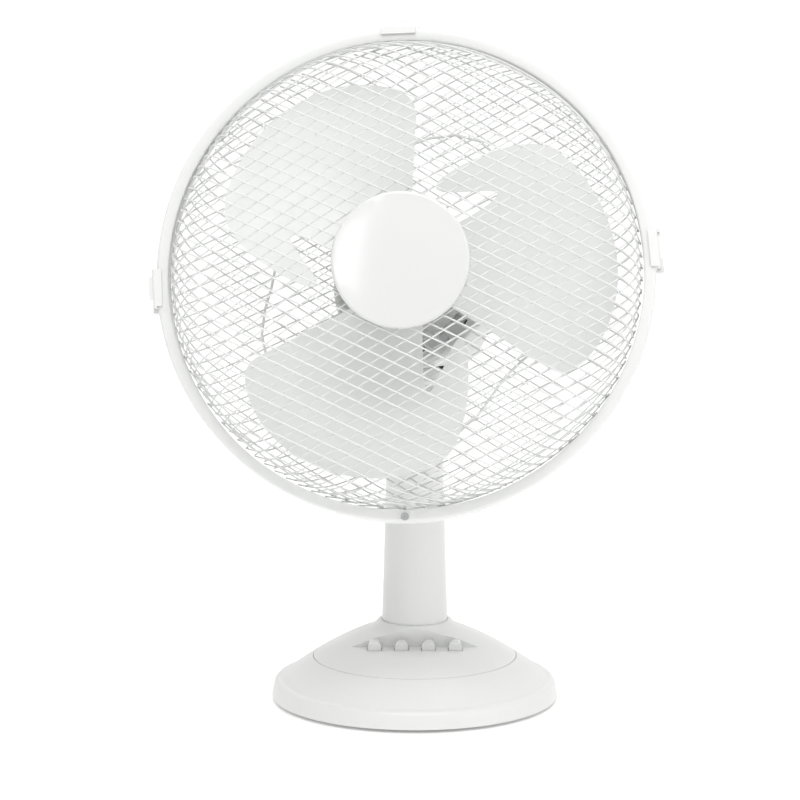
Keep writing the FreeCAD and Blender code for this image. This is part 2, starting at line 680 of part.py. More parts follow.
def gear(teeth, module, centre, bottom, height, first_tooth):
    """Spur gear on a vertical axis, with a tooth pointing in the given direction."""
    solid = gear_outline(teeth, module).extrude(Vector(0, 0, height))
    solid.Placement = Placement(Vector(centre[0], centre[1], bottom), Rotation(Z_AXIS, first_tooth))
    return solid


def make_motor_shaft():
    """Steel shaft: threaded nose for the blade nut, and a one-start worm cut in its tail."""
    lead = pi * WHEEL_MODULE
    worm_start = WHEEL_Y - 5 * lead
    worm_end = WHEEL_Y + 5 * lead
    core_radius = WORM_RADIUS - 1.2 * WHEEL_MODULE
    shaft = rod(SHAFT_RADIUS, (0, HUB_FRONT - 9.0, 0), (0, worm_start - 2, 0))
    tail = rod(core_radius, (0, worm_start - 3, 0), (0, worm_end + 3, 0))
    pin_hole = rod(1.3 + FIT_GAP, (-10, HUB_REAR + 1.0, 0), (10, HUB_REAR + 1.0, 0))
    turns = worm_end - worm_start
    thread_path = Part.makeHelix(lead, turns, core_radius - 0.1)
    root_half = 0.23 * lead
    tip_half = 0.09 * lead
    low = core_radius - 0.15
    high = WORM_RADIUS + 0.8 * WHEEL_MODULE
    section = Part.makePolygon([Vector(low, 0, -root_half), Vector(high, 0, -tip_half),
                                Vector(high, 0, tip_half), Vector(low, 0, root_half),
                                Vector(low, 0, -root_half)])
    thread = Part.Wire(thread_path).makePipeShell([section], True, True)
    # the helix climbs along its own axis, which is laid along -Y; a groove faces the worm wheel
    thread.Placement = Placement(Vector(0, worm_end, 0), Rotation(Z_AXIS, -Y_AXIS))
    return all_fused([shaft, tail, thread]).cut(pin_hole)


def make_worm_wheel():
    """Worm wheel, its shaft, and the pinion below it that drives the crank gear."""
    x, y = WHEEL_CENTRE
    wheel = gear(WHEEL_TEETH, WHEEL_MODULE, WHEEL_CENTRE, -2.5, 5.0, 0.0)
    shaft = rod(2.0, (x, y, GEARBOX_BOTTOM + 0.4), (x, y, GEARBOX_TOP - 0.4))
    pinion = gear(PINION_TEETH, GEAR_MODULE, WHEEL_CENTRE, -21.0, 10.0, CRANK_DIRECTION)
    return all_fused([wheel, shaft, pinion])


def make_crank_gear():
    """Crank gear with its shaft, and under the gearbox the crank disc and its pin."""
    x, y = CRANK_CENTRE
    half_tooth = 180 / CRANK_TEETH
    crank = gear(CRANK_TEETH, GEAR_MODULE, CRANK_CENTRE, -20.0, 5.0, CRANK_DIRECTION + 180 + half_tooth)
    shaft = rod(3.0, (x, y, -31.0), (x, y, -8.0))
    disc = rod(CRANK_THROW + 4, (x, y, -33.0), (x, y, -29.5))
    pin = rod(LINK_PIN_RADIUS, (*CRANK_PIN, LINK_TOP + 0.5), (*CRANK_PIN, -31.0))
    return all_fused([crank, shaft, disc, pin])


def make_link_arm():
    """Flat link from the neck's fixed pin to the crank pin, drawn in the head's frame."""
    pan = radians(-REST_PAN)
    fixed = (LINK_PIN_OFFSET[0] * cos(pan) - LINK_PIN_OFFSET[1] * sin(pan),
             LINK_PIN_OFFSET[0] * sin(pan) + LINK_PIN_OFFSET[1] * cos(pan))
    bottom = LINK_TOP - LINK_THICKNESS
    length = hypot(CRANK_PIN[0] - fixed[0], CRANK_PIN[1] - fixed[1])
    angle = degrees(atan2(CRANK_PIN[1] - fixed[1], CRANK_PIN[0] - fixed[0]))
    bar = box((0, length), (-2.6, 2.6), (bottom, LINK_TOP))
    eyes = [rod(4.1, (along, 0, bottom), (along, 0, LINK_TOP)) for along in (0, length)]
    link = all_fused([bar] + eyes)
    for along in (0, length):
        link = link.cut(rod(LINK_PIN_RADIUS + RUNNING_GAP, (along, 0, -60), (along, 0, 0)))
    link.Placement = Placement(Vector(fixed[0], fixed[1], 0), Rotation(Z_AXIS, angle))
    return link


def gearbox_posts():
    return ((-33.5, -6.0), (-33.5, 43.0), (9.5, 43.0), (9.5, 17.0))


def make_gearbox_case():
    """Open-topped case on the back of the rear bell, with bearings for both gear shafts."""
    x_low, x_high = -37.5, 13.5
    y_low, y_high = BELL_REAR + 0.1, 47.0
    wall = 2.0
    outside = box((x_low, x_high), (y_low, y_high), (GEARBOX_BOTTOM, GEARBOX_TOP))
    inside = box((x_low + wall, x_high - wall), (y_low + wall, y_high - wall),
                 (GEARBOX_BOTTOM + wall, GEARBOX_TOP + 1))
    case = outside.cut(inside)
    posts = [rod(3.2, (x, y, GEARBOX_BOTTOM + 1), (x, y, GEARBOX_TOP)) for x, y in gearbox_posts()]
    seat = rod(4.5, (*WHEEL_CENTRE, GEARBOX_BOTTOM + 1), (*WHEEL_CENTRE, GEARBOX_BOTTOM + 4.5))
    nose = rod(5.0, (0, y_high - 1, 0), (0, y_high + 3.5, 0))
    case = case.multiFuse(posts + [seat, nose])
    cuts = [rod(1.2 + FIT_GAP, (x, y, GEARBOX_TOP - 12), (x, y, GEARBOX_TOP + 1)) for x, y in gearbox_posts()]
    cuts.append(rod(2.0 + RUNNING_GAP, (*WHEEL_CENTRE, GEARBOX_BOTTOM + 0.2), (*WHEEL_CENTRE, 0)))
    cuts.append(rod(3.0 + RUNNING_GAP, (*CRANK_CENTRE, -40), (*CRANK_CENTRE, -20)))
    cuts.append(rod(9.0, (0, y_low - 2, 0), (0, y_low + wall + 1, 0)))
    cuts.append(rod(1.6 + FIT_GAP, (0, y_high - 5, 0), (0, y_high + 6, 0)))
    return case.cut(Part.makeCompound(cuts)).removeSplitter()


def make_gearbox_lid():
    """Lid with the guide for the clutch knob's stem."""
    lid = box((-37.5, 13.5), (BELL_REAR + 0.1, 47.0), (GEARBOX_TOP + 0.03, GEARBOX_TOP + 2))
    guide = rod(6.0, (*WHEEL_CENTRE, GEARBOX_TOP + 1), (*WHEEL_CENTRE, GEARBOX_TOP + 14))
    lid = lid.fuse(guide)
    cuts = [rod(1.2 + FIT_GAP, (x, y, 0), (x, y, 20)) for x, y in gearbox_posts()]
    cuts.append(rod(3.0 + RUNNING_GAP, (*WHEEL_CENTRE, GEARBOX_TOP + 1), (*WHEEL_CENTRE, 40)))
    return lid.cut(Part.makeCompound(cuts)).removeSplitter()


def make_gearbox_screws():
    return Part.makeCompound([screw(1.2, 2.6, 1.6, (x, y, GEARBOX_TOP + 2.03), (x, y, GEARBOX_TOP - 9))
                              for x, y in gearbox_posts()])


def make_clutch_knob():
    """Pull knob that disengages the oscillation: a ribbed cap on a long stem."""
    x, y = WHEEL_CENTRE
    seat = sqrt(COVER_RADIUS ** 2 - x ** 2) + 2.0
    bottom = GEARBOX_TOP + 2.4
    cap = turned_z((0, seat), (6.8, seat), (6.8, seat + 8.6), ((6.2, seat + 10.2), (4.4, seat + 10.8)),
                   (0, seat + 11.2))
    groove = rod(0.7, (7.3, 0, seat - 1), (7.3, 0, seat + 12))
    cap = cap.cut(Part.makeCompound([around_z(groove, 22.5 * i) for i in range(16)]))
    knob = cap.fuse(rod(3.0, (0, 0, bottom), (0, 0, seat + 1))).removeSplitter()
    knob.translate(Vector(x, y, 0))
    return knob


# ---------------------------------------------------------------- impeller

def blade_surface(offset):
    """Twisted, cambered blade surface, moved along Y by the offset and larger than the blade all round."""
    inner, outer, rings = BLADE_ROOT_RADIUS - 4, BLADE_TIP_RADIUS + 6, 7
    margin, rays = 14.0, 9
    rows = []
    for ring in range(rings):
        radius = inner + (outer - inner) * ring / (rings - 1)
        row = []
        for ray in range(rays):
            angle = -margin + (BLADE_SPAN + 2 * margin) * ray / (rays - 1)
            turn = radians(angle - BLADE_MIDDLE_ANGLE)
            y = BLADE_MIDDLE + BLADE_TWIST * turn - BLADE_CAMBER * (turn ** 2 - 0.35) + offset
            row.append(Vector(radius * cos(radians(angle)), y, radius * sin(radians(angle))))
        rows.append(row)
    surface = Part.BSplineSurface()
    surface.interpolate(rows)
    return surface.toShape()


def blade_planform():
    """Outline of a blade seen along the shaft: one straight edge, one swept edge, a round tip."""
    def at(radius, angle):
        return Vector(radius * cos(radians(angle)), 0, radius * sin(radians(angle)))

    tip = BLADE_TIP_RADIUS
    start = at(BLADE_ROOT_RADIUS, 0.0)
    corner = at(0.80 * tip, 0.0)
    end = at(BLADE_ROOT_RADIUS, BLADE_SPAN)
    curve = Part.BSplineCurve()
    curve.interpolate([corner, at(0.93 * tip, 6.0), at(tip, 23.0), at(tip, 47.0), at(0.96 * tip, 65.0),
                       at(0.79 * tip, 83.0), at(0.43 * tip, 95.0), end],
                      InitialTangent=X_AXIS, FinalTangent=at(1.0, 240.0))
    edges = [Part.makeLine(start, corner), curve.toShape(), Part.makeLine(end, start)]
    return Part.Face(Part.Wire(edges))


def make_blade():
    """One blade: the slab between two copies of its surface, cut to the planform."""
    front = blade_surface(-BLADE_THICKNESS / 2)
    slab = front.extrude(Vector(0, BLADE_THICKNESS, 0))
    prism = blade_planform().extrude(Vector(0, 120, 0))
    prism.translate(Vector(0, BLADE_MIDDLE - 60, 0))
    return slab.common(prism)


def make_impeller():
    """Hub and three broad blades in one moulding."""
    hub = turned_y(
        (0, HUB_FRONT), (HUB_RADIUS - 6, HUB_FRONT),
        ((HUB_RADIUS - 2.2, HUB_FRONT + 1.4), (HUB_RADIUS, HUB_FRONT + 6)),
        (HUB_RADIUS, HUB_REAR), (HUB_RADIUS - 2.2, HUB_REAR), (HUB_RADIUS - 2.2, HUB_FRONT + 4),
        (9.0, HUB_FRONT + 4), (9.0, HUB_REAR + 1.6), (0, HUB_REAR + 1.6),
    )
    blade = make_blade()
    blades = [around_y(blade, BLADE_START + 360 / BLADE_COUNT * i) for i in range(BLADE_COUNT)]
    core = rod(HUB_RADIUS - 2.2, (0, HUB_FRONT + 4, 0), (0, HUB_REAR + 20, 0))
    blades = [b.cut(core) for b in blades]
    impeller = all_fused([hub] + blades)
    shaft_bore = rod(SHAFT_RADIUS + 0.05, (0, HUB_FRONT - 5, 0), (0, HUB_REAR + 5, 0))
    pin_slot = box((-9.2, 9.2), (HUB_REAR - 3.0, HUB_REAR + 3.2), (-1.6, 1.6))
    return impeller.cut(shaft_bore).cut(pin_slot)


def make_drive_pin():
    """Cross pin in the shaft that turns the hub."""
    y = HUB_REAR + 1.0
    return rod(1.3, (-8.6, y, 0), (8.6, y, 0))


def make_blade_nut():
    """Domed nut that holds the impeller on the shaft."""
    nut = turned_y(
        (SHAFT_RADIUS + 0.05, HUB_FRONT - 0.1), (14.0, HUB_FRONT - 0.1), (14.0, HUB_FRONT - 6),
        ((12.6, HUB_FRONT - 10.2), (9.0, HUB_FRONT - 12.4)), (0, HUB_FRONT - 13.6), (0, HUB_FRONT - 9.4),
        (SHAFT_RADIUS + 0.05, HUB_FRONT - 9.4),
    )
    groove = rod(1.0, (14.4, HUB_FRONT - 20, 0), (14.4, HUB_FRONT + 1, 0))
    return nut.cut(Part.makeCompound([around_y(groove, 30 * i) for i in range(12)]))


# ---------------------------------------------------------------- cage

def split(places, longest):
    """Places along a line, with each gap longer than the limit divided evenly."""
    dense = [places[0]]
    for start, end in zip(places, places[1:]):
        parts = ceil(abs(end - start) / longest)
        dense += [start + (end - start) * k / parts for k in range(1, parts + 1)]
    return dense


class Dome:
    """Meridian of a mesh dome: a slightly curved face, a round shoulder and a steep wall."""

    def __init__(self, depth, face_angle, shoulder_radius, wall_angle, side):
        self.side = side            # -1 for the front dome, +1 for the rear dome
        self.depth = depth
        self.face_turn = radians(face_angle)
        self.wall_turn = radians(wall_angle)
        self.shoulder = shoulder_radius
        a, b = self.face_turn, self.wall_turn
        fall = depth - MESH_END_DEPTH
        left = MESH_END_RADIUS - shoulder_radius * (sin(b) - sin(a))
        left -= (fall - shoulder_radius * (cos(a) - cos(b))) / tan(b)
        self.face_radius = left / (1 - tan(a / 2) / tan(b))
        self.face_curve = self.face_radius / sin(a)
        self.face_end = self.face_curve * a
        self.shoulder_end = self.face_end + shoulder_radius * (b - a)
        wall_fall = fall - self.face_radius * tan(a / 2) - shoulder_radius * (cos(a) - cos(b))
        self.end = self.shoulder_end + wall_fall / sin(b)

    def at(self, along):
        """Radius, fall from the apex and turn, at a distance along the meridian."""
        if along <= self.face_end:
            turn = along / self.face_curve
            return self.face_curve * sin(turn), self.face_curve * (1 - cos(turn)), turn
        radius, fall, turn = self.face_radius, self.face_radius * tan(self.face_turn / 2), self.face_turn
        if along <= self.shoulder_end:
            turn += (along - self.face_end) / self.shoulder
            radius += self.shoulder * (sin(turn) - sin(self.face_turn))
            fall += self.shoulder * (cos(self.face_turn) - cos(turn))
            return radius, fall, turn
        turn = self.wall_turn
        radius += self.shoulder * (sin(turn) - sin(self.face_turn))
        fall += self.shoulder * (cos(self.face_turn) - cos(turn))
        rest = along - self.shoulder_end
        return radius + rest * cos(turn), fall + rest * sin(turn), turn

    def point(self, flat_x, flat_z, lift):
        """Point of a flat net wrapped on the dome and lifted off it, and the outward direction there."""
        along = hypot(flat_x, flat_z)
        radius, fall, turn = self.at(along)
        out_x, out_z = flat_x / along, flat_z / along
        normal = Vector(sin(turn) * out_x, self.side * cos(turn), sin(turn) * out_z)
        y = RIM_PLANE + self.side * (self.depth - fall)
        return Vector(radius * out_x, y, radius * out_z) + normal * lift, normal


FRONT_DOME = Dome(FRONT_DOME_DEPTH, 12.0, 26.0, 78.0, -1)
REAR_DOME = Dome(REAR_DOME_DEPTH, 9.0, 28.0, 76.0, 1)


def mesh_wires(dome, centre_radius, mirror):
    """Wires of both families, as (face pieces, rim pieces) that meet at the shoulder."""
    face_pieces = []
    rim_pieces = []
    end_gap = 0.12
    shortest_face_run = 12.0
    shoulder_length = dome.shoulder_end - dome.face_end
    stations = [dome.face_end + shoulder_length * k / MESH_SHOULDER_PARTS for k in range(MESH_SHOULDER_PARTS + 1)]
    stations.append(dome.end)
    count = int((dome.end - 7.0) / MESH_PITCH)
    for family, direction in enumerate(MESH_DIRECTIONS):
        angle = radians(direction * mirror)
        lift = MESH_LAYER if family == 0 else -MESH_LAYER
        for i in range(-count, count):
            distance = (i + 0.5) * MESH_PITCH

            def reach(radius):
                """How far along this wire it crosses a circle of the flat net."""
                return sqrt(radius ** 2 - distance ** 2) if radius > abs(distance) else 0.0

            def run(places):
                """One wire through places along its line in the flat net."""
                flat = [(s * cos(angle) - distance * sin(angle), s * sin(angle) + distance * cos(angle))
                        for s in split(places, MESH_LONGEST_SPAN)]
                points, normals = zip(*(dome.point(x, z, lift) for x, z in flat))
                return wire_through(points, normals, MESH_WIRE_RADIUS)

            inner = reach(centre_radius)
            shoulder = reach(dome.face_end)
            outside = [reach(station) for station in stations if station > abs(distance)]
            if shoulder < shortest_face_run:
                if outside[0] < shortest_face_run / 4:
                    outside = outside[1:]
                rim_pieces.append(run([-s for s in reversed(outside)] + outside))
                continue
            outside[0] += end_gap
            for side in (-1, 1):
                rim_pieces.append(run([side * s for s in outside]))
            if inner > 0:
                for side in (-1, 1):
                    face_pieces.append(run([side * inner, side * (shoulder - end_gap)]))
            else:
                face_pieces.append(run([-shoulder + end_gap, shoulder - end_gap]))
    return Part.makeCompound(face_pieces), Part.makeCompound(rim_pieces)


def make_rear_brace_wire():
    """Flat wavy ring of thicker wire in front of the rear mesh, its ends butted together."""
    middle, wave = 104.0, 9.0
    wire_radius = 1.0
    touch, _ = REAR_DOME.point(middle + wave, 0, -MESH_LAYER - MESH_WIRE_RADIUS)
    points = []
    for i in range(41):
        angle = radians(100 + 8.99 * i)
        radius = middle + wave * cos(5 * angle + 0.6)
        points.append(Vector(radius * cos(angle), touch.y - wire_radius - 0.4, radius * sin(angle)))
    return wire_through(points, [Y_AXIS] * len(points), wire_radius)


def make_rear_grille_plate():
    """Pressed disc in the middle of the rear mesh, clamped by the grille nut."""
    rear = COVER_FRONT - 0.1
    plate = tube(REAR_PLATE_RADIUS, COLLAR_RADIUS + 0.3, (0, rear - REAR_PLATE_THICKNESS, 0), (0, rear, 0))
    hole = rod(2.2, (26, COVER_FRONT - 3, 0), (26, COVER_FRONT + 1, 0))
    return plate.cut(Part.makeCompound([around_y(hole, 60 * i) for i in range(6)]))


def make_grille_nut():
    """Large plastic ring nut with eight finger notches."""
    y = COVER_FRONT - REAR_PLATE_THICKNESS - 0.15
    nut = turned_y((COLLAR_RADIUS + 0.08, y), (25.0, y), (25.0, y - 2.6), (21.5, y - 3.4), (21.5, y - 8.0),
                   (COLLAR_RADIUS + 0.08, y - 8.0))
    notch = rod(2.4, (23.2, y - 10, 0), (23.2, y - 2.7, 0))
    return nut.cut(Part.makeCompound([around_y(notch, 45 * i) for i in range(8)]))


def make_rim_band():
    """Channel-shaped hoop that closes over both rim wires."""
    front = RIM_PLANE - BAND_WIDTH / 2
    rear = RIM_PLANE + BAND_WIDTH / 2
    inside = BAND_RADIUS - BAND_WALL
    band = turned_y(
        (BAND_INNER_RADIUS, front + 0.5), (BAND_INNER_RADIUS + 0.8, front),
        (BAND_RADIUS - 2.0, front), ((BAND_RADIUS - 0.6, front + 0.6), (BAND_RADIUS, front + 2.0)),
        (BAND_RADIUS, rear - 2.0), ((BAND_RADIUS - 0.6, rear - 0.6), (BAND_RADIUS - 2.0, rear)),
        (BAND_INNER_RADIUS + 0.8, rear), (BAND_INNER_RADIUS, rear - 0.5),
        (BAND_INNER_RADIUS, rear - BAND_WALL), (inside, rear - BAND_WALL),
        (inside, front + BAND_WALL), (BAND_INNER_RADIUS, front + BAND_WALL),
    )
    lugs = [around_y(make_clip_lugs(length), angle) for length, angle in CLIPS.values()]
    band = all_fused([band] + lugs)
    return band.cut(rod(LOCK_SCREW_RADIUS + FIT_GAP, (0, front - 5, LOCK_SCREW_Z), (0, rear + 5, LOCK_SCREW_Z)))


def make_lock_screw():
    """Safety screw through the bottom of the rim band."""
    front = RIM_PLANE - BAND_WIDTH / 2
    rear = RIM_PLANE + BAND_WIDTH / 2
    return screw(LOCK_SCREW_RADIUS, 2.8, 1.6, (0, front - 0.03, LOCK_SCREW_Z), (0, rear + 4.5, LOCK_SCREW_Z))


def make_lock_nut():
    rear = RIM_PLANE + BAND_WIDTH / 2
    nut = hexagon(5.0, (0, rear + 0.05, LOCK_SCREW_Z), (0, rear + 2.5, LOCK_SCREW_Z))
    return nut.cut(rod(LOCK_SCREW_RADIUS + 0.05, (0, rear - 1, LOCK_SCREW_Z), (0, rear + 5, LOCK_SCREW_Z)))


CLIP_HINGE_RADIUS = BAND_RADIUS + 3.2
CLIP_HINGE_Y = RIM_PLANE + BAND_WIDTH / 2 + 1.6
CLIP_PIN_RADIUS = 1.0
CLIPS = {"clip_right": (26.0, 5.0), "clip_left": (26.0, 183.0), "clip_top": (24.0, 91.5)}


def make_clip_lugs(length):
    """Two ears and a pin behind the band, on which a clip turns; drawn at the rim's +X side."""
    half = length / 2
    rear = RIM_PLANE + BAND_WIDTH / 2
    lugs = [rod(CLIP_PIN_RADIUS, (CLIP_HINGE_RADIUS, CLIP_HINGE_Y, -half - 1),
                (CLIP_HINGE_RADIUS, CLIP_HINGE_Y, half + 1))]
    for side in (-1, 1):
        low, high = sorted((side * (half + 0.4), side * (half + 2.4)))
        foot = box((BAND_RADIUS - 1.2, BAND_RADIUS + 1.0), (rear - 6.0, rear - 0.8), (low, high))
        ear = box((BAND_RADIUS - 0.8, CLIP_HINGE_RADIUS + 1.6), (rear - 3.5, CLIP_HINGE_Y + 1.4), (low, high))
        lugs += [foot, ear]
    return all_fused(lugs)


def make_clip(length):
    """Over-centre clip drawn at the rim's +X side: it hinges behind the band and hooks its front."""
    front = RIM_PLANE - BAND_WIDTH / 2
    inside = BAND_RADIUS + 0.3
    outside = BAND_RADIUS + 2.3
    half = length / 2
    profile = outline(
        lambda radius, along: Vector(radius, along, -half),
        (inside, CLIP_HINGE_Y), (inside, front - 0.3), (BAND_RADIUS - 4.0, front - 0.3),
        (BAND_RADIUS - 4.0, front - 1.9), (BAND_RADIUS + 0.6, front - 1.9),
        ((outside - 0.4, front - 1.4), (outside, front)),
        (outside, CLIP_HINGE_Y - 2.0), (CLIP_HINGE_RADIUS, CLIP_HINGE_Y),
    )
    clip = profile.extrude(Vector(0, 0, length))
    eye = rod(2.2, (CLIP_HINGE_RADIUS, CLIP_HINGE_Y, -half), (CLIP_HINGE_RADIUS, CLIP_HINGE_Y, half))
    tab = box((outside - 0.2, outside + 3.2), (front + 0.4, front + 2.0), (-half * 0.6, half * 0.6))
    pin_bore = rod(CLIP_PIN_RADIUS + RUNNING_GAP, (CLIP_HINGE_RADIUS, CLIP_HINGE_Y, -half - 1),
                   (CLIP_HINGE_RADIUS, CLIP_HINGE_Y, half + 1))
    return all_fused([clip, eye, tab]).cut(pin_bore)


# ---------------------------------------------------------------- front centre cap

def cap_base_y():
    """Height of the wires' front face at the edge of the cap."""
    _, fall, _ = FRONT_DOME.at(CAP_RADIUS)
    return RIM_PLANE - (FRONT_DOME_DEPTH - fall + MESH_LAYER + MESH_WIRE_RADIUS) - 0.25


def make_centre_cap():
    """Glossy round cap, slightly domed, with a rounded edge."""
    y = cap_base_y()
    edge = y - CAP_HEIGHT + 2.2
    lip = CAP_RADIUS - 2.4
    front = edge - 2.1
    rise = 1.8
    middle_rise = cap_height(lip / 2, lip, rise)
    return turned_y(
        (CAP_RADIUS, y), (CAP_RADIUS, edge), ((CAP_RADIUS - 0.7, edge - 1.5), (lip, front)),
        ((lip / 2, front - middle_rise), (0, front - rise)), (0, front - rise + 2.0),
        ((lip / 2, front - middle_rise + 2.0), (lip, front + 2.0)), (CAP_RADIUS - 2.2, y),
    )


def make_cap_plate():
    """Backing plate that clamps the wire ends against the cap."""
    _, fall, _ = FRONT_DOME.at(CAP_RADIUS - 2)
    y = RIM_PLANE - (FRONT_DOME_DEPTH - fall - MESH_LAYER - MESH_WIRE_RADIUS) + 0.3
    return turned_y((0, y), (CAP_RADIUS - 2.5, y), (CAP_RADIUS - 2.5, y + 1.2), (0, y + 1.2))


# ---------------------------------------------------------------- assembly

def build_base():
    add("base_shell", make_base_shell())
    add("control_cover", make_control_cover())
    add("base_plate", make_base_plate())
    add("base_screws", make_base_screws())
    add("foot_ring", make_foot_ring())
    add("ballast_weight", make_ballast_weight())
    add("column_socket", make_column_socket())
    add("switch_block", make_switch_block())
    add("motor_capacitor", make_motor_capacitor())
    inlet = make_cord_inlet()
    inlet.translate(Vector(0, 0, 8.0))
    add("cord_inlet", inlet)
    for i, name in enumerate(("button_off", "button_1", "button_2", "button_3")):
        add(name, make_button(BUTTON_PITCH * (i - 1.5)))
    add("column_tube", make_column_tube())
    add("column_yoke", make_column_yoke())
    add("tilt_bolt", make_tilt_bolt())
    add("tilt_nut", make_tilt_nut())


def build_neck():
    add_to_neck("neck_knuckle", make_neck_knuckle())
    add_to_neck("pivot_post", make_pivot_post())
    add_to_neck("post_circlip", make_post_circlip())
    add_to_neck("thrust_washer", make_thrust_washer())


def build_motor():
    add_to_head("motor_front_bell", make_motor_front_bell())
    add_to_head("motor_rear_bell", make_motor_rear_bell())
    add_to_head("stator_core", make_stator_core())
    add_to_head("stator_windings", make_stator_windings())
    add_to_head("shaft_bearings", make_shaft_bearings())
    add_to_head("rotor_cage", make_rotor_cage())
    add_to_head("motor_shaft", make_motor_shaft())
    add_to_head("motor_bolts", make_motor_bolts())
    add_to_head("motor_front_cover", make_motor_front_cover())
    add_to_head("motor_rear_cover", make_motor_rear_cover())
    add_to_head("cover_screw", make_cover_screw())


def build_gearbox():
    add_to_head("gearbox_case", make_gearbox_case())
    add_to_head("gearbox_lid", make_gearbox_lid())
    add_to_head("gearbox_screws", make_gearbox_screws())
    add_to_head("worm_wheel", make_worm_wheel())
    add_to_head("crank_gear", make_crank_gear())
    add_to_head("link_arm", make_link_arm())
    add_to_head("clutch_knob", make_clutch_knob())


def build_impeller():
    add_to_head("impeller", make_impeller())
    add_to_head("drive_pin", make_drive_pin())
    add_to_head("blade_nut", make_blade_nut())


def build_cage():
    front_face, front_rim = mesh_wires(FRONT_DOME, CAP_RADIUS - 6, 1)
    rear_face, rear_rim = mesh_wires(REAR_DOME, REAR_PLATE_RADIUS - 5, -1)
    add_to_head("front_mesh_face", front_face)
    add_to_head("front_mesh_rim", front_rim)
    add_to_head("rear_mesh_face", rear_face)
    add_to_head("rear_mesh_rim", rear_rim)
    add_to_head("front_rim_wire", ring_wire(RIM_WIRE_CIRCLE, RIM_WIRE_RADIUS, RIM_PLANE - RIM_WIRE_OFFSET))
    add_to_head("rear_rim_wire", ring_wire(RIM_WIRE_CIRCLE, RIM_WIRE_RADIUS, RIM_PLANE + RIM_WIRE_OFFSET))
    add_to_head("rear_brace_wire", make_rear_brace_wire())
    add_to_head("rear_grille_plate", make_rear_grille_plate())
    add_to_head("grille_nut", make_grille_nut())
    add_to_head("rim_band", make_rim_band())
    add_to_head("lock_screw", make_lock_screw())
    add_to_head("lock_nut", make_lock_nut())
    add_to_head("centre_cap", make_centre_cap())
    add_to_head("cap_plate", make_cap_plate())
    for name, (length, angle) in CLIPS.items():
        add_to_head(name, around_y(make_clip(length), angle))


build_base()
build_neck()
build_motor()
build_gearbox()
build_impeller()
build_cage()

os.makedirs("parts", exist_ok=True)
for name, shape in pieces.items():
    shape.exportStep(f"parts/{name}.step")
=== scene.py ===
"""Looks of the white desk fan: smooth welded wire mesh, finishes for every piece, studio and camera."""
import json
import random
from math import ceil, cos, hypot, pi, radians, sin, sqrt, tan

import bpy
import numpy as np
from mathutils import Matrix, Vector


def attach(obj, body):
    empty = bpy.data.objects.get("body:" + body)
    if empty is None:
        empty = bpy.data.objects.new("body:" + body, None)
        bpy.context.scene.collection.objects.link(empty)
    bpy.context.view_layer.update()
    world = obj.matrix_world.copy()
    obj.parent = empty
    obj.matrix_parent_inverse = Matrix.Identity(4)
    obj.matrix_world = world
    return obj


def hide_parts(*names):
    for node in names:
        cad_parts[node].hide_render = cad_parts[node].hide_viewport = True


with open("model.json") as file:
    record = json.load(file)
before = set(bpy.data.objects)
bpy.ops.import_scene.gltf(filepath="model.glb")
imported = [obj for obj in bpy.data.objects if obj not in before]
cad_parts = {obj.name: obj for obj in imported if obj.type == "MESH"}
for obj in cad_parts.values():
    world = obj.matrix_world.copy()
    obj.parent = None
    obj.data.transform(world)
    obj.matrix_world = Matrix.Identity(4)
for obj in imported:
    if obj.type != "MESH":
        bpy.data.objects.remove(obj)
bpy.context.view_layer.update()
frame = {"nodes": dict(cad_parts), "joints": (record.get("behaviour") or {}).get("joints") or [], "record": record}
nodes = frame["nodes"]
joints = {joint["name"]: joint for joint in frame["joints"]}

MM = 0.001

# ---------------------------------------------------------------- camera

CAMERA_PLACE = Vector((-10.73, -2150.0, 560.2)) * MM
CAMERA_AIM = Vector((-10.73, 0.0, 219.3)) * MM
CAMERA_LENS = 136.04
SENSOR_WIDTH = 36.0


def aimed(thing, place, aim):
    """Stand a camera or a light at a place and point its -Z axis at another."""
    thing.location = place
    thing.rotation_euler = (aim - place).to_track_quat("-Z", "Y").to_euler()
    bpy.context.scene.collection.objects.link(thing)
    return thing


camera_data = bpy.data.cameras.new("camera")
camera_data.lens = CAMERA_LENS
camera_data.sensor_width = SENSOR_WIDTH
bpy.context.scene.camera = aimed(bpy.data.objects.new("camera", camera_data), CAMERA_PLACE, CAMERA_AIM)


# ---------------------------------------------------------------- finishes

MIX_COLOUR_INPUTS = (0, 6, 7)   # the mix node's factor and its two colour sockets
MIX_COLOUR_OUTPUT = 2


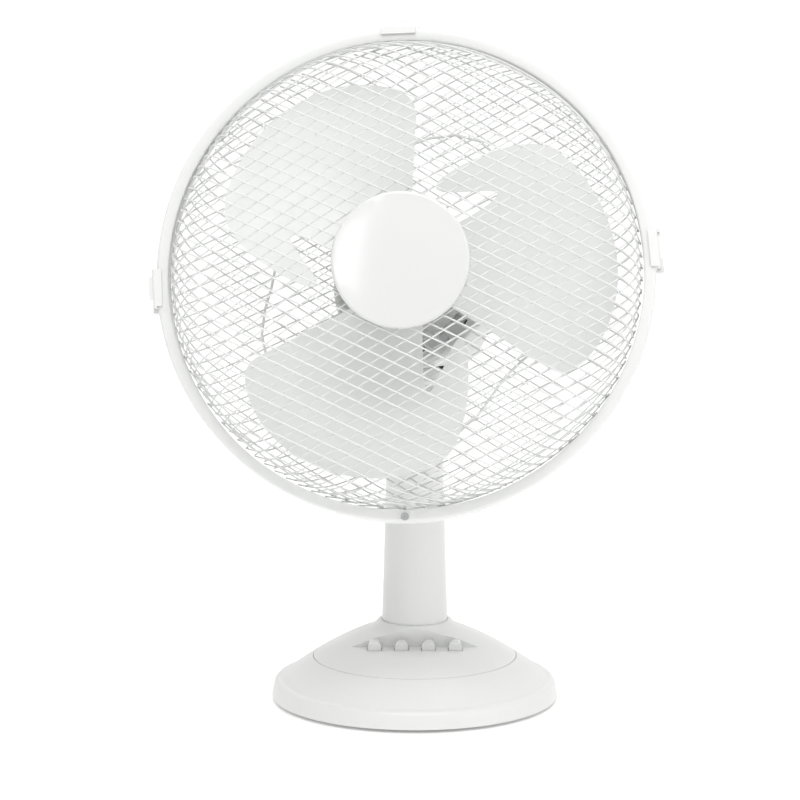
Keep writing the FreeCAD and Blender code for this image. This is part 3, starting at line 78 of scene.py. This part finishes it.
class Finish:
    """One material in the making: its shader, and noise measured in the frame's metres."""

    def __init__(self, name, colour, roughness, metallic=0.0):
        self.material = bpy.data.materials.new(name)
        self.material.use_nodes = True
        self.tree = self.material.node_tree
        self.shader = self.tree.nodes["Principled BSDF"]
        self.place = self.tree.nodes.new("ShaderNodeTexCoord").outputs["Object"]
        self.last_relief = None
        self.set("Base Color", (*colour, 1.0))
        self.set("Roughness", roughness)
        self.set("Metallic", metallic)

    def set(self, socket, value):
        self.shader.inputs[socket].default_value = value

    def add(self, kind, **settings):
        node = self.tree.nodes.new(kind)
        for name, value in settings.items():
            setattr(node, name, value)
        return node

    def stretched(self, stretch):
        """The frame's coordinates, with the pattern drawn out along the axes whose factor is small."""
        mapping = self.add("ShaderNodeMapping")
        mapping.inputs["Scale"].default_value = stretch
        self.tree.links.new(self.place, mapping.inputs["Vector"])
        return mapping.outputs["Vector"]

    def noise(self, per_metre, detail=3.0, stretch=(1, 1, 1)):
        node = self.add("ShaderNodeTexNoise")
        node.inputs["Scale"].default_value = per_metre
        node.inputs["Detail"].default_value = detail
        self.tree.links.new(self.stretched(stretch), node.inputs["Vector"])
        return node.outputs["Fac"]

    def cells(self, per_metre):
        node = self.add("ShaderNodeTexVoronoi")
        node.inputs["Scale"].default_value = per_metre
        self.tree.links.new(self.place, node.inputs["Vector"])
        return node.outputs["Distance"]

    def bands(self, per_metre, direction, distortion=0.0):
        node = self.add("ShaderNodeTexWave", bands_direction=direction)
        node.inputs["Scale"].default_value = per_metre
        node.inputs["Distortion"].default_value = distortion
        self.tree.links.new(self.place, node.inputs["Vector"])
        return node.outputs["Fac"]

    def between(self, factor, low, high, from_low=0.3, from_high=0.7):
        """A number that runs from low to high as the factor crosses its middle range."""
        node = self.add("ShaderNodeMapRange")
        node.inputs["From Min"].default_value = from_low
        node.inputs["From Max"].default_value = from_high
        node.inputs["To Min"].default_value = low
        node.inputs["To Max"].default_value = high
        self.tree.links.new(factor, node.inputs["Value"])
        return node.outputs["Result"]

    def tint(self, factor, colour):
        """Blend what the base colour is so far towards another colour."""
        mix = self.add("ShaderNodeMix", data_type="RGBA")
        blend, from_colour, to_colour = (mix.inputs[i] for i in MIX_COLOUR_INPUTS)
        socket = self.shader.inputs["Base Color"]
        from_colour.default_value = socket.default_value
        to_colour.default_value = (*colour, 1.0)
        if socket.is_linked:
            self.tree.links.new(socket.links[0].from_socket, from_colour)
        self.tree.links.new(factor, blend)
        self.tree.links.new(mix.outputs[MIX_COLOUR_OUTPUT], socket)

    def vary_roughness(self, factor, low, high):
        self.tree.links.new(self.between(factor, low, high), self.shader.inputs["Roughness"])

    def relief(self, factor, height):
        """Raise the surface by up to a height in metres where the factor is high."""
        bump = self.add("ShaderNodeBump")
        bump.inputs["Distance"].default_value = height
        self.tree.links.new(factor, bump.inputs["Height"])
        if self.last_relief:
            self.tree.links.new(self.last_relief, bump.inputs["Normal"])
        self.last_relief = bump.outputs["Normal"]
        self.tree.links.new(self.last_relief, self.shader.inputs["Normal"])


def moulded_white(name, colour, shade, roughness, gloss_spread, peel, coat=0.0):
    """Injection-moulded white plastic: slow drift in tone, faint mottling and orange peel.

    The shell's and the paper's roughness stay above 0.28: hard-edged patches showed in test
    renders while their ranges ran across that value.
    """
    finish = Finish(name, colour, roughness)
    finish.set("IOR", 1.49)
    finish.set("Coat Weight", coat)
    finish.set("Coat Roughness", 0.06)
    finish.tint(finish.between(finish.noise(9, 1.0), 0.0, 0.3), shade)
    finish.tint(finish.between(finish.noise(300, 3.0), 0.0, 0.12, 0.55, 0.78), [c * 0.9 for c in shade])
    finish.vary_roughness(finish.noise(38, 2.0), roughness - gloss_spread, roughness + gloss_spread)
    finish.relief(finish.noise(260, 2.0), peel)
    finish.relief(finish.noise(700, 2.0), peel * 0.12)
    return finish


def white_shell():
    return moulded_white("white_shell", (0.80, 0.805, 0.79), (0.765, 0.775, 0.76), 0.34, 0.04, 0.00003)


def white_gloss():
    return moulded_white(
        "white_gloss", (0.73, 0.735, 0.725), (0.71, 0.715, 0.705), 0.14, 0.02, 0.000008, coat=0.4)


def blade_plastic():
    """Satin translucent white, with faint flow lines that fan out from the hub."""
    finish = moulded_white("blade_plastic", (0.82, 0.83, 0.82), (0.79, 0.80, 0.79), 0.34, 0.05, 0.00002)
    finish.set("Subsurface Weight", 0.12)
    finish.set("Subsurface Radius", (0.004, 0.004, 0.0035))
    finish.relief(finish.noise(60, 3.0, stretch=(1.0, 1.0, 6.0)), 0.00003)
    return finish


def white_wire():
    """White powder coat on wire: pebbly, a little thicker and duller here and there."""
    finish = Finish("white_wire", (0.78, 0.785, 0.775), 0.32)
    finish.set("Coat Weight", 0.25)
    finish.set("Coat Roughness", 0.2)
    finish.tint(finish.between(finish.noise(90, 3.0), 0.0, 0.8), (0.70, 0.71, 0.70))
    finish.vary_roughness(finish.noise(500, 3.0), 0.30, 0.42)
    finish.relief(finish.noise(1800, 3.0), 0.00003)
    return finish


def motor_shell():
    """Grey-ish off-white, greyer than the white shells: painted shade for the shadow the motor sits in behind the
    blades. Fine spark-eroded grain, with dust that greys the hollows.
    """
    # Base colour and drift tint darker than the shells' white: painted shade standing in for the motor's shadow
    # behind the blades.
    finish = Finish("motor_shell", (0.66, 0.665, 0.64), 0.46)
    finish.tint(finish.between(finish.noise(22, 3.0), 0.0, 0.8), (0.60, 0.605, 0.585))
    finish.tint(finish.between(finish.noise(700, 5.0), 0.0, 0.4, 0.6, 0.8), (0.50, 0.50, 0.48))
    finish.vary_roughness(finish.noise(60, 4.0), 0.40, 0.56)
    finish.relief(finish.cells(1300), 0.00004)
    finish.relief(finish.noise(2600, 2.0), 0.00001)
    return finish


def inner_plastic():
    finish = Finish("inner_plastic", (0.62, 0.62, 0.60), 0.5)
    finish.tint(finish.between(finish.noise(30, 4.0), 0.0, 0.9), (0.54, 0.54, 0.52))
    finish.vary_roughness(finish.noise(80, 4.0), 0.42, 0.62)
    finish.relief(finish.noise(900, 3.0), 0.00003)
    return finish


def dark_plastic():
    finish = Finish("dark_plastic", (0.022, 0.022, 0.023), 0.45)
    finish.tint(finish.between(finish.noise(40, 4.0), 0.0, 1.0), (0.04, 0.04, 0.042))
    finish.vary_roughness(finish.noise(90, 4.0), 0.36, 0.58)
    finish.relief(finish.cells(1500), 0.00003)
    return finish


def rubber():
    """Soft black foot rubber, bloomed grey in patches and dusty."""
    finish = Finish("rubber", (0.018, 0.018, 0.018), 0.75)
    finish.set("Sheen Weight", 0.15)
    finish.tint(finish.between(finish.noise(45, 5.0), 0.0, 0.9), (0.05, 0.05, 0.048))
    finish.vary_roughness(finish.noise(120, 4.0), 0.65, 0.9)
    finish.relief(finish.noise(1500, 4.0), 0.00005)
    return finish


def steel():
    """Zinc-plated steel: turned marks, cloudy plating."""
    finish = Finish("steel", (0.60, 0.61, 0.62), 0.3, metallic=1.0)
    finish.set("Anisotropic", 0.4)
    finish.tint(finish.between(finish.cells(170), 0.0, 0.7, 0.2, 0.8), (0.50, 0.51, 0.50))
    finish.vary_roughness(finish.noise(240, 4.0), 0.22, 0.44)
    finish.relief(finish.noise(2200, 2.0, stretch=(0.1, 1.0, 0.1)), 0.00001)
    return finish


def aluminium():
    """Die-cast end bells: satin skin with a rough, slightly pitted grain."""
    finish = Finish("aluminium", (0.66, 0.67, 0.68), 0.42, metallic=1.0)
    finish.tint(finish.between(finish.noise(70, 5.0), 0.0, 0.8), (0.52, 0.53, 0.54))
    finish.vary_roughness(finish.noise(160, 5.0), 0.34, 0.58)
    finish.relief(finish.noise(800, 5.0), 0.00006)
    return finish


def core_steel():
    """Stack of half-millimetre laminations across the motor axis, lightly varnished."""
    finish = Finish("core_steel", (0.30, 0.31, 0.33), 0.4, metallic=0.9)
    finish.tint(finish.between(finish.noise(120, 4.0), 0.0, 0.8), (0.20, 0.17, 0.14))
    finish.vary_roughness(finish.noise(200, 3.0), 0.3, 0.5)
    finish.relief(finish.bands(320, "Y", 0.2), 0.00012)
    return finish


def cast_iron():
    """Rough grey ballast casting with rust starting in the pores."""
    finish = Finish("cast_iron", (0.09, 0.09, 0.092), 0.7, metallic=0.6)
    finish.tint(finish.between(finish.noise(55, 6.0), 0.0, 0.8, 0.5, 0.75), (0.16, 0.07, 0.035))
    finish.vary_roughness(finish.noise(140, 4.0), 0.6, 0.85)
    finish.relief(finish.noise(420, 6.0), 0.0003)
    return finish


def copper():
    """Enamelled wire wound round the poles, seen as fine rounded strands under varnish."""
    finish = Finish("copper", (0.62, 0.24, 0.10), 0.28, metallic=0.85)
    finish.set("Coat Weight", 0.5)
    finish.tint(finish.between(finish.noise(90, 4.0), 0.0, 0.8), (0.40, 0.13, 0.05))
    finish.vary_roughness(finish.noise(150, 3.0), 0.2, 0.4)
    finish.relief(finish.bands(260, "DIAGONAL", 1.5), 0.00025)
    return finish


def bronze():
    finish = Finish("bronze", (0.55, 0.36, 0.16), 0.45, metallic=1.0)
    finish.tint(finish.between(finish.noise(150, 5.0), 0.0, 0.8), (0.36, 0.22, 0.09))
    finish.vary_roughness(finish.noise(300, 4.0), 0.35, 0.6)
    finish.relief(finish.cells(2600), 0.00003)
    return finish


def nylon():
    """Natural nylon gears: waxy, slightly yellow, with a smear of grease."""
    finish = Finish("nylon", (0.72, 0.69, 0.58), 0.4)
    finish.set("Subsurface Weight", 0.2)
    finish.set("Subsurface Radius", (0.003, 0.0026, 0.002))
    finish.tint(finish.between(finish.noise(90, 4.0), 0.0, 0.7, 0.5, 0.75), (0.60, 0.52, 0.34))
    finish.vary_roughness(finish.noise(130, 4.0), 0.2, 0.5)
    finish.relief(finish.noise(1100, 3.0), 0.00002)
    return finish


finishes = {make.__name__: make().material for make in (
    white_shell, white_gloss, blade_plastic, white_wire, motor_shell, inner_plastic, dark_plastic, rubber,
    steel, aluminium, core_steel, cast_iron, copper, bronze, nylon)}


def dress(piece, slot):
    piece.data.materials.clear()
    piece.data.materials.append(finishes[slot])


# ---------------------------------------------------------------- shading of the CAD pieces

CREASE = radians(32)
WELD_STEP = 0.5e-6      # corners nearer than this are one point


def smooth_across(piece):
    """Shade a CAD mesh smoothly over its face joints, and keep the edges sharper than the crease angle."""
    mesh = piece.data
    corner_point = np.zeros(len(mesh.loops), np.int64)
    mesh.loops.foreach_get("vertex_index", corner_point)
    points = np.zeros(len(mesh.vertices) * 3)
    mesh.vertices.foreach_get("co", points)
    points = points.reshape(-1, 3)
    rounded = np.round(points / WELD_STEP).astype(np.int64)
    place = np.unique(rounded, axis=0, return_inverse=True)[1].ravel()
    corner_place = place[corner_point]
    triangles = points[corner_point].reshape(-1, 3, 3)
    area_normal = np.cross(triangles[:, 1] - triangles[:, 0], triangles[:, 2] - triangles[:, 0])
    length = np.linalg.norm(area_normal, axis=1, keepdims=True)
    unit = np.repeat(area_normal / np.maximum(length, 1e-20), 3, axis=0)
    edges = triangles[:, [1, 2, 0]] - triangles
    edges /= np.maximum(np.linalg.norm(edges, axis=2, keepdims=True), 1e-12)
    opening = np.arccos(np.clip(-(edges * edges[:, [2, 0, 1]]).sum(2), -1, 1)).ravel()
    order = np.argsort(corner_place, kind="stable")
    starts = np.flatnonzero(np.r_[True, np.diff(corner_place[order]) > 0])
    sizes = np.diff(np.r_[starts, len(order)])
    position = np.arange(len(order)) - np.repeat(starts, sizes)
    size_here = np.repeat(sizes, sizes)
    first_here = np.repeat(starts, sizes)
    normals = np.zeros_like(unit)
    for shift in range(int(sizes.max())):
        active = np.flatnonzero(size_here > shift)
        neighbour = order[first_here[active] + (position[active] + shift) % size_here[active]]
        own = order[active]
        alike = (unit[own] * unit[neighbour]).sum(1) > cos(CREASE)
        np.add.at(normals, own[alike], unit[neighbour[alike]] * opening[neighbour[alike], None])
    normals /= np.maximum(np.linalg.norm(normals, axis=1, keepdims=True), 1e-12)
    mesh.polygons.foreach_set("use_smooth", np.ones(len(mesh.polygons), bool))
    mesh.normals_split_custom_set(normals.tolist())


for subpart in frame["record"]["subparts"]:
    dress(nodes[subpart["node"]], subpart["material_slot"])
for node in nodes.values():
    if not node.name.startswith(("front_mesh", "rear_mesh")):
        smooth_across(node)


# ---------------------------------------------------------------- wire mesh of the cage

WIRE_RADIUS = 0.6 * MM
WIRE_SIDES = 8
WIRE_PITCH = 8.6 * MM
WIRE_LAYER = 0.56 * MM          # the two families lie this far off the middle surface, so they touch
WIRE_DIRECTIONS = (-26.0, 33.0)
WIRE_LONGEST_SPAN = 6.0 * MM
WIRE_SHOULDER_PARTS = 10
WIRE_WANDER = 0.22 * MM         # uneven spacing of the welded wires
WANDER_SEED = 12
OUTER_MARGIN = 7.0 * MM         # no wire lies nearer than this to the edge of the net
MESH_END_RADIUS = 162.4 * MM
MESH_END_DEPTH = 5.0 * MM
RIM_PLANE = -100.0 * MM
CAP_HOLE_RADIUS = 41.0 * MM
PLATE_HOLE_RADIUS = 33.0 * MM

head_up = Vector(joints["pan"]["axis"]).normalized()
head_back = -Vector(joints["fan_spin"]["axis"]).normalized()
head_right = head_back.cross(head_up)
head_place = Matrix.Translation(joints["pan"]["pos_m"]) @ Matrix(
    (head_right, head_back, head_up)).transposed().to_4x4()


class Dome:
    """Meridian of a mesh dome: a slightly curved face, a round shoulder and a steep wall."""

    def __init__(self, depth, face_angle, shoulder_radius, wall_angle, side):
        self.side = side            # -1 for the front dome, +1 for the rear dome
        self.depth = depth
        self.face_turn = radians(face_angle)
        self.wall_turn = radians(wall_angle)
        self.shoulder = shoulder_radius
        a, b = self.face_turn, self.wall_turn
        fall = depth - MESH_END_DEPTH
        left = MESH_END_RADIUS - shoulder_radius * (sin(b) - sin(a))
        left -= (fall - shoulder_radius * (cos(a) - cos(b))) / tan(b)
        self.face_radius = left / (1 - tan(a / 2) / tan(b))
        self.face_curve = self.face_radius / sin(a)
        self.face_end = self.face_curve * a
        self.shoulder_end = self.face_end + shoulder_radius * (b - a)
        wall_fall = fall - self.face_radius * tan(a / 2) - shoulder_radius * (cos(a) - cos(b))
        self.end = self.shoulder_end + wall_fall / sin(b)

    def at(self, along):
        """Radius, fall from the apex and turn, at a distance along the meridian."""
        if along <= self.face_end:
            turn = along / self.face_curve
            return self.face_curve * sin(turn), self.face_curve * (1 - cos(turn)), turn
        radius, fall, turn = self.face_radius, self.face_radius * tan(self.face_turn / 2), self.face_turn
        if along <= self.shoulder_end:
            turn += (along - self.face_end) / self.shoulder
            radius += self.shoulder * (sin(turn) - sin(self.face_turn))
            fall += self.shoulder * (cos(self.face_turn) - cos(turn))
            return radius, fall, turn
        turn = self.wall_turn
        radius += self.shoulder * (sin(turn) - sin(self.face_turn))
        fall += self.shoulder * (cos(self.face_turn) - cos(turn))
        rest = along - self.shoulder_end
        return radius + rest * cos(turn), fall + rest * sin(turn), turn

    def point(self, flat_x, flat_z, lift):
        """Point of a flat net wrapped on the dome and lifted off it, and the outward direction there."""
        along = max(hypot(flat_x, flat_z), 1e-9)
        radius, fall, turn = self.at(along)
        out_x, out_z = flat_x / along, flat_z / along
        normal = Vector((sin(turn) * out_x, self.side * cos(turn), sin(turn) * out_z))
        y = RIM_PLANE + self.side * (self.depth - fall)
        return Vector((radius * out_x, y, radius * out_z)) + normal * lift, normal


FRONT_DOME = Dome(54.0 * MM, 12.0, 26.0 * MM, 78.0, -1)
REAR_DOME = Dome(45.0 * MM, 9.0, 28.0 * MM, 76.0, 1)


def split(places, longest):
    """Places along a line, with each gap longer than the limit divided evenly."""
    dense = [places[0]]
    for start, end in zip(places, places[1:]):
        parts = max(ceil(abs(end - start) / longest), 1)
        dense += [start + (end - start) * k / parts for k in range(1, parts + 1)]
    return dense


def tube_mesh(points, normals, radius, sides):
    """Vertices and faces of a round wire through the points, closed at both ends."""
    points = np.array(points)
    normals = np.array(normals)
    along = np.gradient(points, axis=0)
    across = np.cross(along, normals)
    across /= np.linalg.norm(across, axis=1, keepdims=True)
    up = np.cross(across, along)
    up /= np.linalg.norm(up, axis=1, keepdims=True)
    turns = 2 * pi * np.arange(sides) / sides
    ring = up[:, None] * np.cos(turns)[:, None] + across[:, None] * np.sin(turns)[:, None]
    vertices = (points[:, None] + radius * ring).reshape(-1, 3)
    faces = []
    for i in range(len(points) - 1):
        for k in range(sides):
            a, b = i * sides + k, i * sides + (k + 1) % sides
            faces.append((a, a + sides, b + sides, b))
    faces.append(tuple(range(sides)))
    faces.append(tuple(reversed(range(len(vertices) - sides, len(vertices)))))
    return vertices, faces


def mesh_lines(dome, hole_radius, mirror):
    """Every wire of the dome, as lists of points and normals in the head's frame."""
    shoulder_length = dome.shoulder_end - dome.face_end
    stations = [dome.face_end + shoulder_length * k / WIRE_SHOULDER_PARTS
                for k in range(WIRE_SHOULDER_PARTS + 1)]
    stations.append(dome.end)
    count = int((dome.end - OUTER_MARGIN) / WIRE_PITCH)
    draw = random.Random(WANDER_SEED)
    for family, direction in enumerate(WIRE_DIRECTIONS):
        angle = radians(direction * mirror)
        lift = WIRE_LAYER if family == 0 else -WIRE_LAYER
        for i in range(-count, count):
            distance = (i + 0.5) * WIRE_PITCH + draw.uniform(-WIRE_WANDER, WIRE_WANDER)
            outside = [sqrt(s ** 2 - distance ** 2) for s in stations if s > abs(distance)]
            runs = [[-s for s in reversed(outside)] + outside]
            if abs(distance) < hole_radius:
                inner = sqrt(hole_radius ** 2 - distance ** 2)
                runs = [[-s for s in reversed(outside)] + [-inner], [inner] + outside]
            for run in runs:
                flat = [(s * cos(angle) - distance * sin(angle), s * sin(angle) + distance * cos(angle))
                        for s in split(run, WIRE_LONGEST_SPAN)]
                yield zip(*(dome.point(x, z, lift) for x, z in flat))


def make_wire_mesh(name, dome, hole_radius, mirror, *replaced):
    """One piece for a whole dome of wires, in place of its CAD wires."""
    vertices = []
    faces = []
    for points, normals in mesh_lines(dome, hole_radius, mirror):
        first = sum(len(v) for v in vertices)
        wire_vertices, wire_faces = tube_mesh(points, normals, WIRE_RADIUS, WIRE_SIDES)
        vertices.append(wire_vertices)
        faces += [tuple(first + k for k in face) for face in wire_faces]
    mesh = bpy.data.meshes.new(name)
    mesh.from_pydata(np.vstack(vertices).tolist(), [], faces)
    mesh.transform(head_place)
    mesh.polygons.foreach_set("use_smooth", [len(face) == 4 for face in faces])
    piece = bpy.data.objects.new(name, mesh)
    bpy.context.scene.collection.objects.link(piece)
    dress(piece, "white_wire")
    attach(piece, "head")
    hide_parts(*replaced)


make_wire_mesh("front_wire_mesh", FRONT_DOME, CAP_HOLE_RADIUS, 1, "front_mesh_face", "front_mesh_rim")
make_wire_mesh("rear_wire_mesh", REAR_DOME, PLATE_HOLE_RADIUS, -1, "rear_mesh_face", "rear_mesh_rim")


# ---------------------------------------------------------------- studio

FLOOR_HALF_WIDTH = 7.0
FLOOR_FRONT = -6.0
COVE_START = 1.6
COVE_RADIUS = 1.2
WALL_TOP = 5.0
COVE_STEPS = 16


def studio_white():
    """Seamless white paper, a little glossy, lit from within so that it reads as white."""
    finish = Finish("studio_white", (0.93, 0.93, 0.93), 0.30)
    finish.set("Emission Color", (1.0, 1.0, 1.0, 1.0))
    finish.set("Emission Strength", 0.24)
    finish.vary_roughness(finish.noise(3, 2.0), 0.30, 0.38)
    return finish.material


def make_backdrop():
    """Paper sweep: floor, round cove and wall in one sheet."""
    profile = [(FLOOR_FRONT, 0.0), (COVE_START, 0.0)]
    for k in range(1, COVE_STEPS + 1):
        turn = pi / 2 * k / COVE_STEPS
        profile.append((COVE_START + COVE_RADIUS * sin(turn), COVE_RADIUS * (1 - cos(turn))))
    profile.append((COVE_START + COVE_RADIUS, WALL_TOP))
    vertices = [(x, y, z) for y, z in profile for x in (-FLOOR_HALF_WIDTH, FLOOR_HALF_WIDTH)]
    faces = [(2 * k, 2 * k + 1, 2 * k + 3, 2 * k + 2) for k in range(len(profile) - 1)]
    mesh = bpy.data.meshes.new("backdrop")
    mesh.from_pydata(vertices, [], faces)
    mesh.polygons.foreach_set("use_smooth", [True] * len(faces))
    mesh.materials.append(studio_white())
    backdrop = bpy.data.objects.new("backdrop", mesh)
    bpy.context.scene.collection.objects.link(backdrop)


def softbox(name, place, aim, width, height, power):
    light = bpy.data.lights.new(name, "AREA")
    light.shape = "RECTANGLE"
    light.size = width
    light.size_y = height
    light.energy = power
    aimed(bpy.data.objects.new(name, light), Vector(place), Vector(aim))


make_backdrop()
fan_middle = (0.0, 0.0, 0.25)
softbox("softbox_left", (-0.95, -2.9, 1.95), (0.0, -0.1, 0.33), 0.30, 2.0, 6)
softbox("softbox_top", (0.0, -0.4, 2.6), fan_middle, 2.4, 2.0, 28)
softbox("softbox_front", (0.15, -1.9, 2.9), fan_middle, 1.6, 1.0, 29)
softbox("softbox_right", (2.4, -1.6, 1.5), fan_middle, 1.2, 1.8, 12)

world = bpy.data.worlds.new("studio")
world.use_nodes = True
world.node_tree.nodes["Background"].inputs["Color"].default_value = (1.0, 1.0, 1.0, 1.0)
world.node_tree.nodes["Background"].inputs["Strength"].default_value = 0.52
bpy.context.scene.world = world
bpy.context.scene.view_settings.view_transform = "Standard"
